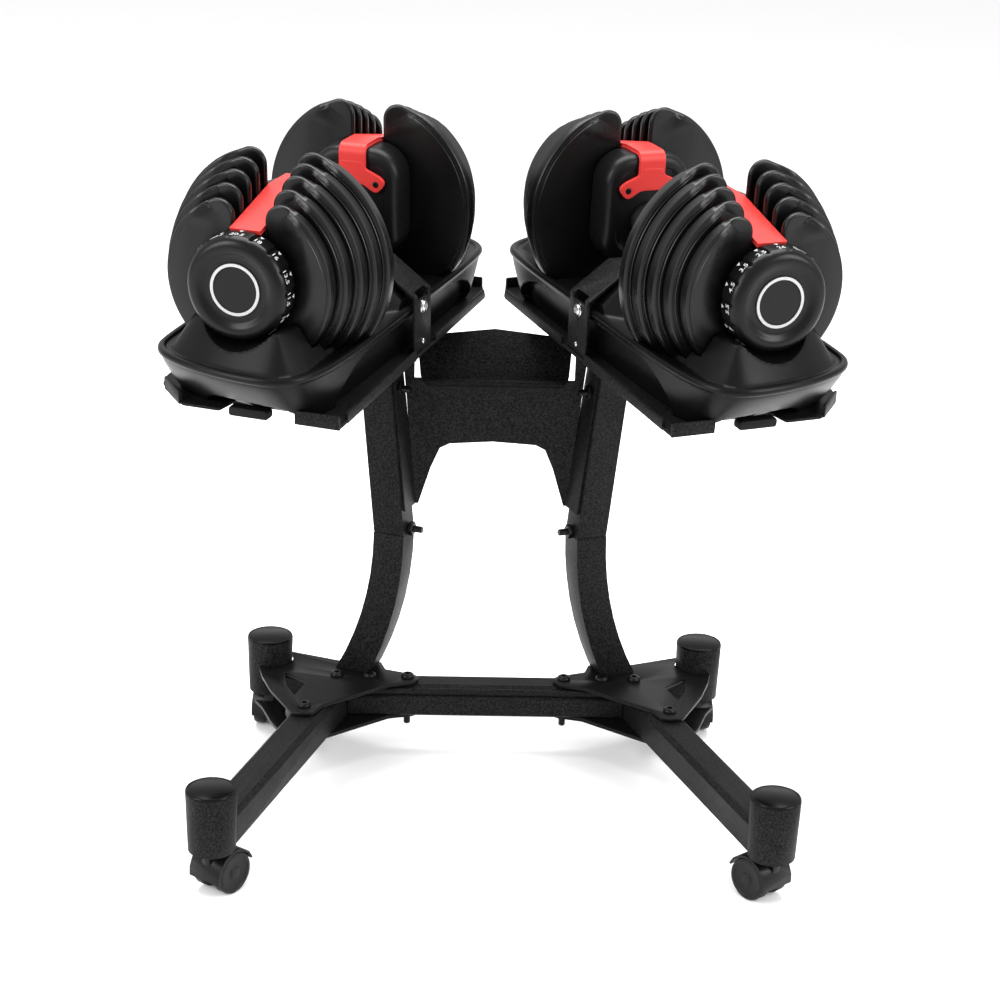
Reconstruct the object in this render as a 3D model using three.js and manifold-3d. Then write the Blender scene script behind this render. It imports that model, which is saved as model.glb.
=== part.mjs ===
// A pair of dial-selected dumbbells in their trays, on a wheeled steel stand.
// Millimetres, +Z up. X runs across the stand, Y from its front to its back.
// The origin is on the floor, under the middle of the stand's outer box.

import * as THREE from 'three';
import { mergeVertices } from 'three/addons/utils/BufferGeometryUtils.js';
import Module from 'manifold-3d';

const manifoldLibrary = await Module();
manifoldLibrary.setup();

// ---------------------------------------------------------------- driving dimensions

const TOUCH_GAP = 0.3; // between pieces that rest on or bolt to each other
const RUNNING_GAP = 0.6; // between pieces that slide or turn past each other

// casters
const WHEEL_RADIUS = 21;
const WHEEL_WIDTH = 13;
const WHEEL_SPACING = 12; // between the two wheels of a caster
const AXLE_RADIUS = 3.5;
const CASTER_TRAIL = 13; // axle behind the swivel line
const HOOD_THICKNESS = 2.2;
const STEM_RADIUS = 5.5;
const STEM_LENGTH = 30;
const FRONT_CASTER_TURN = 38; // degrees the trail points inward from straight back
const BACK_CASTER_TURN = 8;

// base frame
const CUP_RADIUS = 24.6;
const CUP_FOOT_RADIUS = 22.8;
const CUP_LIFT = 5.6; // foot of a cup above the wheels' tops
const CUP_BOTTOM = 2 * WHEEL_RADIUS + CUP_LIFT;
const CUP_HEIGHT = 60.6;
const FRONT_CUP = [266, -315];
const BACK_CUP = [234, 43.5];
const NODE_X = 160; // where a front and a back arm meet
const TUBE_DEPTH = 36;
const TUBE_HEIGHT = 32;
const TUBE_WALL = 2;
const TUBE_BOTTOM = CUP_BOTTOM - 0.6;
const CROSSBAR_Y = -4;
const CROSSBAR_HALF = 143;
const GUSSET_THICKNESS = 4;
const GUSSET_BOLTS = [[191, -77], [160, 0], [125, -1], [84, -1]];
const LEG_PAD = [[108, 18], [113, 36], [151, 54], [157, 38]]; // carries the leg, top plate only
const BOLT_HOLE_RADIUS = 4.2;
const CASTER_CLEARANCE = 34; // kept free round each swivel line under the frame

// uprights, drawn in the plane across the dumbbell's line
const BAY_YAW = 21.8; // degrees each dumbbell's line turns towards the middle
const BAY_TILT = 3.5; // degrees its back end is raised
const POST_WIDTH = 34;
const POST_DEPTH = 30;
const POST_WALL = 2;
const POST_JOINT = [101.4, 12, 247]; // middle of the post's bolted joint
const POST_LEAN = 6; // degrees outward
const LEG_RADIUS = 355;
const LEG_SLEEVE = 26; // how far the leg's narrowed end goes up inside the post
const POST_FLANGE = [96, 74, 4];

// panel between the uprights
const PANEL_THICKNESS = 2.5;
const PANEL_Y = 22;
const PANEL_TOP = 452;
const PANEL_FOOT = 274;
const PANEL_ARCH_TOP = 341;
const PANEL_ARCH_HALF = 50;
const PANEL_FLANGE_FRONT = -11; // how far forward its side flanges reach along the posts
const REST_WIDTH = 154; // tablet rest, a leaning plate in a notch in the panel's top
const REST_FOOT = 407;
const REST_FORWARD = 8; // of its lower edge, from the panel's front
const REST_HEIGHT = 60;
const REST_LEAN = 35;
const REST_LIP = 9;

// bay: everything that shares a dumbbell's own frame
const BAY_CENTRE = [169.2, -48.9, 584.4];
const PLATFORM_LENGTH = 432;
const PLATFORM_WIDTH = 208;
const PLATFORM_TAPER = 11; // its inner edge runs in by this towards the back
const PLATFORM_CHAMFER = 40;
const PLATFORM_THICKNESS = 3;
const TAB_HEIGHT = 10;
const TAB_WIDTH = 44;
const TRAY_LENGTH = 488;
const TRAY_WIDTH = 184;
const TRAY_FOOT_LENGTH = 416;
const TRAY_RIM = -64; // height of the rim, from the dumbbell's line
const TRAY_FOOT = -114;
const TRAY_WALL = 4;
const RIM_THICKNESS = 9;
const SADDLE_TOP = -30;
const SADDLE_LENGTH = 54;
const STRAP_WIDTH = 42;
const STRAP_THICKNESS = 2.5;
const STRAP_SHIFT = 8; // towards the back from the middle of the tray

// dumbbell
const DUMBBELL_LENGTH = 420;
const DIAL_RADIUS = 49.5;
const DIAL_FACE_RADIUS = 46.7;
const DIAL_DEPTH = 26;
const GRIP_RADIUS = 16;
const HOUSING_DEPTH = 34;
const HOUSING_GAP = 1.2; // between the last plate and the housing
const HOUSING_HALF_WIDTH = 47;
const HOUSING_TOP = 66;
const HOUSING_BOTTOM = -46;
const RAIL_WIDTH = 29;
const RAIL_THICKNESS = 4;
const FIRST_PLATE_RADIUS = 81.2;
const LAST_PLATE_RADIUS = 108.5;
const PLATE_COUNT = 5;
const PLATE_PITCH = 17.6;
const PLATE_THICKNESS = 16.9;
const POCKET_DEPTH = 8.4; // room for the selector disc in a plate's outer face
const POCKET_HALF = 46;
const SLOT_HALF = 16;
const LOBE_RADIUS = 17;
const SHAFT_RADIUS = 8;
const DISC_RADIUS = 29;
const DISC_WEB = 2.2;
const RIM_WALL = 4;
const RIM_LENGTH = 4.6;
const RIM_INSET = 0.4; // of the rim's outer face from the disc's edge
const LUG_HALF = 3.6;
const LUG_START = 11; // below the shaft's line
const LUG_SLACK = 1; // between the lug's tip and the rim that carries it

// selector code: the dial settings, in order, at which each plate is picked up
const DIAL_SETTINGS = 15;
const PICKED_AT = [
  [1, 3, 5, 7, 14],
  [2, 3, 6, 8, 11, 13, 14],
  [4, 5, 6, 9, 12, 13, 14],
  [7, 8, 9, 10, 11, 12, 13, 14],
  [10, 11, 12, 13, 14],
];
const SETTING = { left: 12, right: 14 };

// ---------------------------------------------------------------- materials

const finish = (color, roughness, metalness) => () =>
  new THREE.MeshStandardMaterial({ color, roughness, metalness });
const coatedSteel = finish(0x2a2a2b, 0.75, 0.4);
const blackPlastic = finish(0x161617, 0.5, 0);
const trayPlastic = finish(0x1c1c1e, 0.45, 0);
const plateFinish = finish(0x1e1e20, 0.42, 0.1);
const redPlastic = finish(0xf2463f, 0.45, 0);
const softGrip = finish(0x141415, 0.85, 0);
const wheelRubber = finish(0x0e0e0f, 0.6, 0);

// ---------------------------------------------------------------- shape helpers

const radians = THREE.MathUtils.degToRad;

function toSolid(geometry) {
  const bare = geometry.index ? geometry.toNonIndexed() : geometry.clone();
  bare.deleteAttribute('normal');
  bare.deleteAttribute('uv');
  const merged = mergeVertices(bare, 1e-3);
  return new manifoldLibrary.Manifold(new manifoldLibrary.Mesh({
    numProp: 3,
    vertProperties: new Float32Array(merged.attributes.position.array),
    triVerts: new Uint32Array(merged.index.array),
  }));
}

function toMesh(name, solid, material) {
  const { vertProperties, triVerts } = solid.getMesh();
  const geometry = new THREE.BufferGeometry();
  geometry.setAttribute('position', new THREE.BufferAttribute(vertProperties, 3));
  geometry.setIndex(new THREE.BufferAttribute(triVerts, 1));
  geometry.computeVertexNormals();
  const mesh = new THREE.Mesh(geometry, material());
  mesh.name = name;
  return mesh;
}

// a block from its lowest to its highest corner
function block(low, high) {
  const size = high.map((value, axis) => value - low[axis]);
  const geometry = new THREE.BoxGeometry(...size);
  geometry.translate(...high.map((value, axis) => (value + low[axis]) / 2));
  return toSolid(geometry);
}

// a closed outline in XY, raised from one height to another
function prism(outline, low, high, segments = 6) {
  const shape = outline.isShape ? outline : new THREE.Shape(outline.map(([x, y]) => new THREE.Vector2(x, y)));
  const geometry = new THREE.ExtrudeGeometry(shape, {
    depth: high - low,
    bevelEnabled: false,
    curveSegments: segments,
  });
  geometry.translate(0, 0, low);
  return toSolid(geometry);
}

// an outline in XZ, from one depth to another along Y
function slab(outline, front, back, segments = 6) {
  return prism(outline, -back, -front, segments).rotate([90, 0, 0]);
}

// an outline of depth and height (Y, Z), from one side to another along X
function sideSlab(outline, left, right) {
  return prism(outline, left, right).rotate([90, 0, 90]);
}

function cylinder(radius, low, high, sides, topRadius = radius) {
  const geometry = new THREE.CylinderGeometry(topRadius, radius, high - low, sides);
  geometry.rotateX(Math.PI / 2);
  geometry.translate(0, 0, (low + high) / 2);
  return toSolid(geometry);
}

// a cylinder that lies along Y
function bar(radius, front, back, sides, backRadius = radius) {
  return cylinder(backRadius, -back, -front, sides, radius).rotate([90, 0, 0]);
}

// points on an arc, angles in degrees, both ends included
function arc(centre, radius, from, to, steps) {
  return Array.from({ length: steps + 1 }, (_, step) => {
    const angle = radians(from + ((to - from) * step) / steps);
    return [centre[0] + radius * Math.cos(angle), centre[1] + radius * Math.sin(angle)];
  });
}

function roundedRectangle(halfX, halfY, radius, steps = 3) {
  return [
    ...arc([halfX - radius, halfY - radius], radius, 0, 90, steps),
    ...arc([radius - halfX, halfY - radius], radius, 90, 180, steps),
    ...arc([radius - halfX, radius - halfY], radius, 180, 270, steps),
    ...arc([halfX - radius, radius - halfY], radius, 270, 360, steps),
  ];
}

// ---------------------------------------------------------------- base frame

const TUBE_TOP = TUBE_BOTTOM + TUBE_HEIGHT;
const CUP_TOP = CUP_BOTTOM + CUP_HEIGHT;

// a tube's solid between two plan points, narrowed by inset on every side
function tubeBetween(start, end, inset = 0) {
  const run = new THREE.Vector2(end[0] - start[0], end[1] - start[1]);
  const half = TUBE_DEPTH / 2 - inset;
  const low = TUBE_BOTTOM + inset;
  const high = TUBE_TOP - inset;
  const corner = Math.min(5, TUBE_HEIGHT / 4);
  const section = [
    [-half, low], [half, low], [half, high - corner], [half - corner, high],
    [corner - half, high], [-half, high - corner],
  ];
  return slab(section, 0, run.length())
    .rotate([0, 0, THREE.MathUtils.radToDeg(run.angle()) - 90])
    .translate([start[0], start[1], 0]);
}

function casterCup([x, y]) {
  const cup = cylinder(CUP_FOOT_RADIUS, CUP_BOTTOM, CUP_TOP, 24, CUP_RADIUS);
  const socketTop = CUP_BOTTOM + STEM_LENGTH + 2;
  const socket = cylinder(STEM_RADIUS + RUNNING_GAP, CUP_BOTTOM - 1, socketTop, 12);
  return cup.subtract(socket).translate([x, y, 0]);
}

// where the front arm's line passes the node, carried on to the gusset's back edge
const armRun = [NODE_X - FRONT_CUP[0], -FRONT_CUP[1]];
const armEnd = [NODE_X + (armRun[0] * 14) / armRun[1], 14];

function baseArms() {
  const node = [NODE_X, 0];
  const arms = tubeBetween(FRONT_CUP, armEnd).add(tubeBetween(BACK_CUP, node));
  const hollow = tubeBetween(FRONT_CUP, [armEnd[0] + armRun[0] * 0.1, armEnd[1] + armRun[1] * 0.1], TUBE_WALL)
    .add(tubeBetween(BACK_CUP, node, TUBE_WALL));
  const cups = casterCup(FRONT_CUP).add(casterCup(BACK_CUP));
  const frontCore = cylinder(CUP_RADIUS - 2, 0, CUP_TOP, 24).translate([...FRONT_CUP, 0]);
  const backCore = cylinder(CUP_RADIUS - 2, 0, CUP_TOP, 24).translate([...BACK_CUP, 0]);
  return arms.subtract(frontCore.add(backCore)).subtract(hollow.subtract(frontCore).subtract(backCore)).add(cups);
}

function crossbar() {
  const reach = CROSSBAR_HALF + TUBE_DEPTH;
  let tube = tubeBetween([-reach, CROSSBAR_Y], [reach, CROSSBAR_Y]);
  tube = tube.subtract(tubeBetween([-reach - 1, CROSSBAR_Y], [reach + 1, CROSSBAR_Y], TUBE_WALL));
  // each end is mitred along the front arm and stops short of it
  const direction = new THREE.Vector2(...armRun).normalize();
  const away = [-direction.y, direction.x];
  for (const side of [1, -1]) {
    const inner = [
      [NODE_X, 0], [armEnd[0] + armRun[0], armEnd[1] + armRun[1]],
      [reach * 2, reach], [reach * 2, -reach], [FRONT_CUP[0], FRONT_CUP[1]],
    ];
    const shift = TUBE_DEPTH / 2 + TOUCH_GAP * 4;
    const outline = inner.map(([x, y], point) =>
      (point < 2 || point === 4 ? [x + away[0] * shift, y + away[1] * shift] : [x, y]));
    const mirrored = outline.map(([x, y]) => [x * side, y]);
    tube = tube.subtract(prism(side > 0 ? mirrored : mirrored.reverse(), 0, 200));
  }
  return tube;
}

// plan outline of the plates that clamp the arms and the crossbar together
function gussetPlate(low, high, cupClearance, footPad) {
  const [boltX, boltY] = GUSSET_BOLTS[0];
  const [tongueX] = GUSSET_BOLTS[3];
  const outline = [
    ...arc([tongueX, -4], 12, 180, 118, 2),
    ...footPad,
    ...arc(BACK_CUP, cupClearance, 128, 296, 9),
    [240, -4], [229, -38],
    ...arc([boltX, boltY - 2], 17, -30, -125, 4),
    [172, -74], [104, -22],
    ...arc([tongueX, -4], 12, 242, 190, 2),
  ];
  let plate = prism(outline.reverse(), low, high);
  plate = plate.subtract(prism([[216, 6], [192, -18], [203, -50], [213, -26]], low - 1, high + 1));
  for (const [x, y] of GUSSET_BOLTS) {
    plate = plate.subtract(cylinder(BOLT_HOLE_RADIUS, low - 1, high + 1, 6).translate([x, y, 0]));
  }
  return plate;
}

// ---------------------------------------------------------------- casters

const HOOD_RADIUS = WHEEL_RADIUS + 1.3 + HOOD_THICKNESS;

// drawn with the swivel line at x = y = 0 and the floor at z = 0
function casterBody() {
  const webHalf = WHEEL_SPACING / 2 - 1;
  const hoodHalf = WHEEL_SPACING / 2 + WHEEL_WIDTH;
  const axle = [CASTER_TRAIL, WHEEL_RADIUS];
  const hood = sideSlab([
    ...arc(axle, HOOD_RADIUS, 20, 190, 8),
    ...arc(axle, HOOD_RADIUS - HOOD_THICKNESS, 190, 20, 8),
  ], -hoodHalf, hoodHalf);
  const web = sideSlab([
    ...arc(axle, HOOD_RADIUS - 1, 20, 190, 8),
    ...arc(axle, AXLE_RADIUS + 4, 200, 370, 3),
  ], -webHalf, webHalf);
  const neckTop = CUP_BOTTOM - RUNNING_GAP;
  const neck = cylinder(10, WHEEL_RADIUS + 12, neckTop, 12)
    .intersect(block([-webHalf, -12, 0], [webHalf, 12, neckTop + 1]));
  const collar = cylinder(9, neckTop - 3, neckTop, 12);
  const stem = cylinder(STEM_RADIUS, neckTop - 1, CUP_BOTTOM + STEM_LENGTH, 12);
  const axleBore = sideSlab(arc(axle, AXLE_RADIUS + RUNNING_GAP, 0, 324, 9), -hoodHalf, hoodHalf);
  return hood.add(web).add(neck).subtract(axleBore).add(collar).add(stem);
}

function wheelPair() {
  const inner = WHEEL_SPACING / 2;
  const outer = inner + WHEEL_WIDTH - 0.5;
  const profile = [
    [0, -outer], [WHEEL_RADIUS, -outer], [WHEEL_RADIUS, -inner],
    [AXLE_RADIUS, -inner], [AXLE_RADIUS, inner],
    [WHEEL_RADIUS, inner], [WHEEL_RADIUS, outer], [0, outer],
  ];
  const geometry = new THREE.LatheGeometry(profile.map(([r, x]) => new THREE.Vector2(r, x)), 20);
  geometry.rotateZ(-Math.PI / 2);
  geometry.translate(0, CASTER_TRAIL, WHEEL_RADIUS);
  return toSolid(geometry);
}

// ---------------------------------------------------------------- uprights and panel

const LEG_FOOT = TUBE_TOP + TOUCH_GAP + GUSSET_THICKNESS + TOUCH_GAP;
const lean = radians(POST_LEAN);

// the leg's curve: straight up at the joint, sweeping outward to the foot
function legOutline(half, drop) {
  const height = POST_JOINT[2] - LEG_FOOT + drop;
  const sweep = THREE.MathUtils.radToDeg(Math.asin(height / LEG_RADIUS));
  const centre = [LEG_RADIUS, POST_JOINT[2]];
  return [
    ...arc(centre, LEG_RADIUS + half, 180, 180 + sweep, 8),
    ...arc(centre, LEG_RADIUS - half, 180 + sweep, 180, 8),
  ];
}

function leg() {
  const half = POST_WIDTH / 2;
  const depth = POST_DEPTH / 2;
  const drop = 30;
  let tube = slab(legOutline(half, drop), -depth, depth);
  const sleeveHalf = half - POST_WALL - TOUCH_GAP;
  const sleeveDepth = depth - POST_WALL - TOUCH_GAP;
  const base = POST_JOINT[2];
  const tip = Math.tan(lean) * LEG_SLEEVE;
  tube = tube.add(slab([
    [-sleeveHalf, base - 6], [sleeveHalf, base - 6], [sleeveHalf, base], [sleeveHalf + tip, base + LEG_SLEEVE],
    [tip - sleeveHalf, base + LEG_SLEEVE], [-sleeveHalf, base],
  ], -sleeveDepth, sleeveDepth));
  const bore = slab(legOutline(half - POST_WALL * 2, drop + 5), -depth + POST_WALL * 2, depth - POST_WALL * 2)
    .add(slab([
      [POST_WALL * 2 - half, base - 1], [half - POST_WALL * 2, base - 1],
      [half - POST_WALL * 2 + tip, base + LEG_SLEEVE + 1], [POST_WALL * 2 - half + tip, base + LEG_SLEEVE + 1],
    ], -depth + POST_WALL * 2, depth - POST_WALL * 2));
  return tube.subtract(bore).subtract(block([-200, -100, 0], [200, 100, LEG_FOOT]));
}

// the post's tube, from the joint up into its flange; both lie across the platform's underside
function post(flangeCentre, underside) {
  const half = POST_WIDTH / 2;
  const depth = POST_DEPTH / 2;
  const base = POST_JOINT[2] + TOUCH_GAP;
  const reach = 320;
  const run = Math.tan(lean) * reach;
  const outline = (inset, extra) => [
    [inset - half - Math.tan(lean) * extra, base - extra], [half - inset - Math.tan(lean) * extra, base - extra],
    [half - inset + run, base + reach], [inset - half + run, base + reach],
  ];
  const tube = slab(outline(0, 0), -depth, depth)
    .subtract(slab(outline(POST_WALL, 1), POST_WALL - depth, depth - POST_WALL));
  const [width, length, thickness] = POST_FLANGE;
  const plate = prism(roundedRectangle(width / 2, length / 2, 10), -thickness, 0)
    .rotate([BAY_TILT, 0, 0]).translate(flangeCentre);
  const above = block([-400, -400, -0.5], [400, 400, 400]).rotate([BAY_TILT, 0, 0]).translate(underside);
  return tube.subtract(above).add(plate);
}

// a flange of the panel along the right post's inner face, bolted to it
function panelFlange() {
  const face = (z) => Math.tan(lean) * (z - POST_JOINT[2]) - POST_WIDTH / 2 - TOUCH_GAP;
  const inner = (z) => face(z) - PANEL_THICKNESS;
  const outline = [
    [inner(PANEL_FOOT), PANEL_FOOT], [face(PANEL_FOOT), PANEL_FOOT],
    [face(PANEL_TOP), PANEL_TOP], [inner(PANEL_TOP), PANEL_TOP],
  ];
  return slab(outline, PANEL_FLANGE_FRONT, POST_DEPTH)
    .rotate([0, 0, BAY_YAW])
    .translate([POST_JOINT[0], POST_JOINT[1], 0])
    .intersect(block([0, -200, 0], [400, PANEL_Y + PANEL_THICKNESS, PANEL_TOP + 1]));
}

// in the stand's own frame
function panel(innerFace) {
  const [footX, footZ] = [innerFace(PANEL_FOOT), PANEL_FOOT];
  const [topX, topZ] = [innerFace(PANEL_TOP), PANEL_TOP];
  const archTop = PANEL_ARCH_TOP;
  const outline = [
    [-topX, topZ], [-footX, footZ], [3 - footX, footZ],
    [-PANEL_ARCH_HALF - 14, archTop - 26], [-PANEL_ARCH_HALF - 5, archTop - 5], [5 - PANEL_ARCH_HALF, archTop],
    [0, archTop + 3],
    [PANEL_ARCH_HALF - 5, archTop], [PANEL_ARCH_HALF + 5, archTop - 5], [PANEL_ARCH_HALF + 14, archTop - 26],
    [footX - 3, footZ], [footX, footZ], [topX, topZ],
  ];
  const half = REST_WIDTH / 2;
  const notch = block(
    [-half - 6, PANEL_Y - 1, REST_FOOT + 5],
    [half + 6, PANEL_Y + PANEL_THICKNESS + 1, PANEL_TOP + 1],
  );
  const sheet = slab(outline, PANEL_Y, PANEL_Y + PANEL_THICKNESS).subtract(notch);
  // the rest is drawn flat, its lower edge on the X axis, then leant back
  const restOutline = [
    ...arc([12 - half, 12], 12, 180, 270, 3), ...arc([half - 12, 12], 12, 270, 360, 3),
    [half + 3, REST_HEIGHT * 0.72], [half * 0.8, REST_HEIGHT - 4], [0, REST_HEIGHT + 3],
    [-half * 0.8, REST_HEIGHT - 4], [-half - 3, REST_HEIGHT * 0.72],
  ];
  const lip = roundedRectangle(half - 6, 2, 1.9, 2);
  const rest = prism(restOutline, -PANEL_THICKNESS, 0)
    .add(prism(lip, -PANEL_THICKNESS, REST_LIP).translate([0, 2, 0]))
    .rotate([90 - REST_LEAN, 0, 0])
    .translate([0, PANEL_Y - REST_FORWARD, REST_FOOT]);
  // the bend that carries it
  const stay = block(
    [-half * 0.5, PANEL_Y - REST_FORWARD - 1, REST_FOOT + 1],
    [half * 0.5, PANEL_Y + 1, REST_FOOT + 5],
  );
  const flange = panelFlange();
  return sheet.add(rest).add(stay).add(flange).add(flange.mirror([1, 0, 0]));
}

// ---------------------------------------------------------------- platform, tray and strap

const PLATFORM_TOP = TRAY_FOOT - TOUCH_GAP;
const PLATFORM_UNDERSIDE = PLATFORM_TOP - PLATFORM_THICKNESS;

// a strip of given width inside the edge from one corner to the next, anticlockwise
function edgeStrip(start, end, from, to, high) {
  const along = new THREE.Vector2(end[0] - start[0], end[1] - start[1]).normalize();
  const inward = [-along.y * PLATFORM_THICKNESS, along.x * PLATFORM_THICKNESS];
  const near = [start[0] + along.x * from, start[1] + along.y * from];
  const far = [start[0] + along.x * to, start[1] + along.y * to];
  return prism([
    near, far, [far[0] + inward[0], far[1] + inward[1]], [near[0] + inward[0], near[1] + inward[1]],
  ], PLATFORM_UNDERSIDE, high);
}

// the side towards the middle of the stand is at negative X
function platform() {
  const halfX = PLATFORM_WIDTH / 2;
  const halfY = PLATFORM_LENGTH / 2;
  const chamfer = PLATFORM_CHAMFER;
  const frontInner = [-halfX, -halfY];
  const frontOuter = [halfX - chamfer, -halfY];
  const outerFront = [halfX, chamfer - halfY];
  const outerBack = [halfX, halfY - chamfer];
  const backOuter = [halfX - chamfer, halfY];
  const backInner = [PLATFORM_TAPER + 13 - halfX, halfY];
  const innerBack = [PLATFORM_TAPER - halfX, halfY - 26];
  const corners = [frontInner, frontOuter, outerFront, outerBack, backOuter, backInner, innerBack];
  const tabTop = PLATFORM_TOP + TAB_HEIGHT;
  const lipTop = tabTop - 3;
  const slant = (chamfer * Math.SQRT2 - TAB_WIDTH) / 2;
  const backRun = backOuter[0] - backInner[0];
  const innerRun = halfY * 2 - 26;
  const strapAt = halfY - 26 - STRAP_SHIFT;
  const strapGap = STRAP_WIDTH / 2 + 6;
  return prism(corners, PLATFORM_UNDERSIDE, PLATFORM_TOP)
    .add(edgeStrip(frontInner, frontOuter, 0, TAB_WIDTH, tabTop))
    .add(edgeStrip(frontOuter, outerFront, slant, slant + TAB_WIDTH, tabTop))
    .add(edgeStrip(outerBack, backOuter, slant, slant + TAB_WIDTH, tabTop))
    .add(edgeStrip(backOuter, backInner, backRun - TAB_WIDTH, backRun, tabTop))
    .add(edgeStrip(innerBack, frontInner, 4, strapAt - strapGap, lipTop))
    .add(edgeStrip(innerBack, frontInner, strapAt + strapGap, innerRun - 12, lipTop));
}

const plateRadius = (index) =>
  FIRST_PLATE_RADIUS + ((LAST_PLATE_RADIUS - FIRST_PLATE_RADIUS) * index) / (PLATE_COUNT - 1);
const plateFront = (index) => -DUMBBELL_LENGTH / 2 + DIAL_DEPTH + 1.2 + PLATE_PITCH * index;
const stackBack = plateFront(PLATE_COUNT - 1) + PLATE_THICKNESS;

function tray() {
  const halfX = TRAY_WIDTH / 2;
  const halfY = TRAY_LENGTH / 2;
  const footHalf = TRAY_FOOT_LENGTH / 2;
  const rim = prism(roundedRectangle(halfX, halfY, 62, 6), TRAY_RIM - RIM_THICKNESS, TRAY_RIM);
  const skirt = prism(roundedRectangle(halfX - 3, footHalf, 46, 5), TRAY_FOOT, TRAY_RIM - 1);
  const rise = SADDLE_TOP - TRAY_RIM;
  const saddle = slab([
    [3 - halfX, TRAY_RIM - 4], [halfX - 3, TRAY_RIM - 4], [halfX - 3, TRAY_RIM],
    [halfX - 3 - rise, SADDLE_TOP], [rise + 3 - halfX, SADDLE_TOP], [3 - halfX, TRAY_RIM],
  ], STRAP_SHIFT - SADDLE_LENGTH / 2, STRAP_SHIFT + SADDLE_LENGTH / 2);
  let body = rim.add(skirt).add(saddle);
  const wellSlack = 2.5;
  const rimClear = 1.2;
  for (const end of [1, -1]) {
    const flip = (solid) => (end > 0 ? solid.mirror([0, 1, 0]) : solid);
    for (let index = 0; index < PLATE_COUNT; index += 1) {
      const from = plateFront(index) - rimClear;
      body = body.subtract(flip(bar(plateRadius(index) + wellSlack, from, stackBack + wellSlack, 32)));
    }
    const cradle = bar(DIAL_RADIUS + 3, -DUMBBELL_LENGTH / 2 - 4, plateFront(0), 24);
    body = body.subtract(flip(cradle));
  }
  const middle = -stackBack - wellSlack - TRAY_WALL;
  body = body.subtract(prism(
    roundedRectangle(halfX - 3 - TRAY_WALL, middle, 10, 2), TRAY_FOOT - 1, TRAY_RIM - TRAY_WALL,
  ));
  return body;
}

// one bent strip: up the tray's side, over its saddle and down the other side
function holdDown() {
  const inside = TRAY_WIDTH / 2 + TOUCH_GAP + 0.2;
  const outside = inside + STRAP_THICKNESS;
  const rise = SADDLE_TOP - TRAY_RIM;
  const shoulder = TRAY_WIDTH / 2 - 3 - rise;
  const under = SADDLE_TOP + TOUCH_GAP + 0.4;
  const corner = TRAY_RIM + 6;
  const foot = PLATFORM_TOP + TOUCH_GAP;
  const over = [[outside, corner + 2], [shoulder + 1, under + STRAP_THICKNESS]];
  const below = [[shoulder, under], [inside, corner]];
  const outline = [
    [inside, foot], [outside, foot], ...over,
    ...over.map(([x, z]) => [-x, z]).reverse(),
    [-outside, foot], [-inside, foot],
    ...below.map(([x, z]) => [-x, z]).reverse(),
    ...below,
  ];
  const half = STRAP_WIDTH / 2;
  let strip = slab(outline, STRAP_SHIFT - half, STRAP_SHIFT + half);
  // a slot at each bend
  const slot = block([-outside - 1, STRAP_SHIFT - half + 8, corner - 4], [8 - outside, STRAP_SHIFT + half - 8, corner + 5]);
  strip = strip.subtract(slot).subtract(slot.mirror([1, 0, 0]));
  return strip;
}

// ---------------------------------------------------------------- dumbbell

// the slot opens upward between two rounded lobes; its outline runs from lobe to lobe
function plateOutline(radius) {
  const lobeX = SLOT_HALF + LOBE_RADIUS;
  const lobeZ = Math.sqrt((radius - LOBE_RADIUS) ** 2 - lobeX ** 2);
  const lobeAngle = THREE.MathUtils.radToDeg(Math.atan2(lobeZ, lobeX));
  return [
    ...arc([0, 0], radius, 180 - lobeAngle, 360 + lobeAngle, 20),
    ...arc([lobeX, lobeZ], LOBE_RADIUS, lobeAngle + 25, 180, 4),
    ...arc([0, 0], SLOT_HALF, 0, -180, 5),
    ...arc([-lobeX, lobeZ], LOBE_RADIUS, 0, 155 - lobeAngle, 4),
  ];
}

// the outer face is at y = 0 and the plate runs back from it
function weightPlate(index) {
  const radius = plateRadius(index);
  const pocket = slab([
    [POCKET_HALF, radius + 1], [-POCKET_HALF, radius + 1], ...arc([0, 0], POCKET_HALF, 180, 360, 8),
  ], -1, POCKET_DEPTH);
  const rimInner = DISC_RADIUS - RIM_INSET - RIM_WALL;
  const lugTip = Math.sqrt((rimInner - LUG_SLACK) ** 2 - LUG_HALF ** 2);
  const lugFront = RUNNING_GAP + DISC_WEB + RUNNING_GAP;
  const lug = block([-LUG_HALF, lugFront, -lugTip], [LUG_HALF, PLATE_THICKNESS - 1, -LUG_START]);
  const web = block(
    [-LUG_HALF, POCKET_DEPTH, -SLOT_HALF - 1],
    [LUG_HALF, PLATE_THICKNESS - 1, -LUG_START - 1],
  );
  return slab(plateOutline(radius), 0, PLATE_THICKNESS).subtract(pocket).add(web).add(lug);
}

// the stretches of neighbouring dial settings at which a plate is picked up
function pickedRuns(index) {
  const runs = [];
  for (const position of PICKED_AT[index]) {
    const last = runs[runs.length - 1];
    if (last && last[1] === position - 1) last[1] = position;
    else runs.push([position, position]);
  }
  return runs;
}

// a disc with a rim wherever its plate is picked up, open where the plate's lug may drop out
function selectorDisc(index, setting, handed) {
  const step = 360 / DIAL_SETTINGS;
  const rimOuter = DISC_RADIUS - RIM_INSET;
  let disc = bar(DISC_RADIUS, 0, DISC_WEB, DIAL_SETTINGS).rotate([0, step / 2, 0]);
  for (const [first, last] of pickedRuns(index)) {
    const from = handed * step * (first - setting - 0.5) - 90;
    const to = handed * step * (last - setting + 0.5) - 90;
    const outline = [
      ...arc([0, 0], rimOuter, from, to, last - first + 1),
      ...arc([0, 0], rimOuter - RIM_WALL, to, from, last - first + 1),
    ];
    disc = disc.add(slab(handed > 0 ? outline : outline.reverse(), DISC_WEB / 2, DISC_WEB + RIM_LENGTH));
  }
  return disc;
}

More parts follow.
